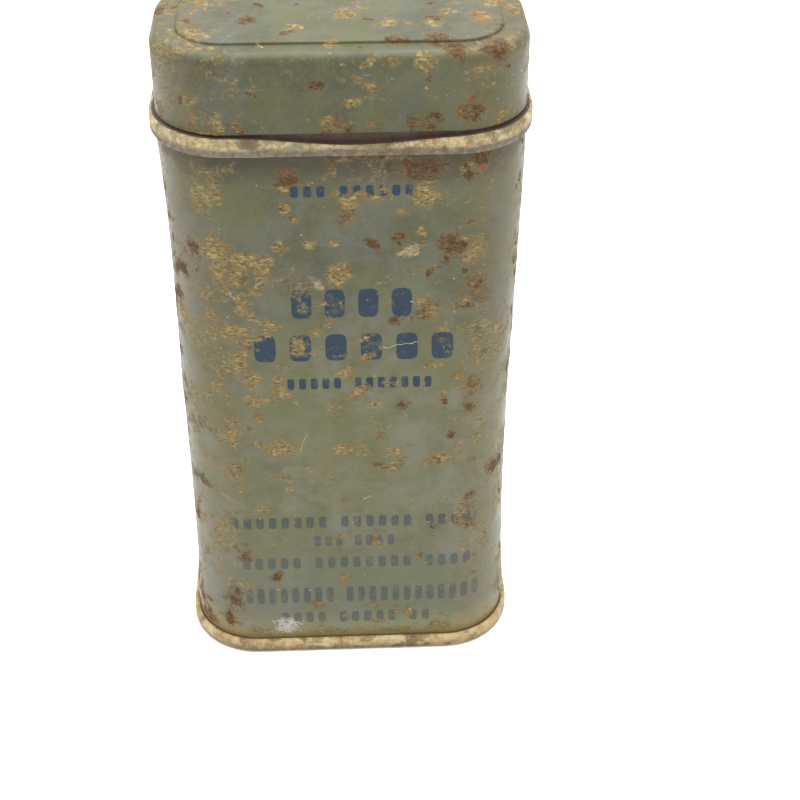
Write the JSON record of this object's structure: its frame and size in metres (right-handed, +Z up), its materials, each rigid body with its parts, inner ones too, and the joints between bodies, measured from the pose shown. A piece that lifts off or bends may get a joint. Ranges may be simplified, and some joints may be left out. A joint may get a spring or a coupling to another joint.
{
  "type": "talcum powder tin",
  "caption": "Flat pocket powder tin with rounded corners, double-seamed ends, a side lock seam, a perforated sifter plate in its neck and a slip-on lid.",
  "frame": {"origin": "centre of the tin's plan at the resting edge of the bottom seam", "axes": "+Z up, out through the lid; +X to the right when facing the printed front; the front face looks towards -Y"},
  "size_m": [0.059, 0.034, 0.1173],
  "materials": {
    "litho_tinplate": "olive-drab lithographed enamel, semi-gloss, scuffed and rust-spotted",
    "neck_tinplate": "tinplate with thin worn olive coating, stained brown",
    "plain_tinplate": "bare tinplate, dulled and rusting at the folds",
    "solder": "dull grey tin-lead solder",
    "compound": "matt tan lining compound"
  },
  "bodies": {
    "tin": {"body_shell": "litho_tinplate", "side_seam_solder": "solder", "neck_ring": "neck_tinplate", "sifter_plate": "plain_tinplate", "top_seam_compound": "compound", "bottom_end": "plain_tinplate", "bottom_seam_compound": "compound"},
    "lid": {"lid": "litho_tinplate"}
  },
  "joints": [
    {"name": "lid_lift", "type": "slide", "parent": "tin", "child": "lid", "axis": [0, 0, 1], "range_m": [0, 0.04]}
  ]
}
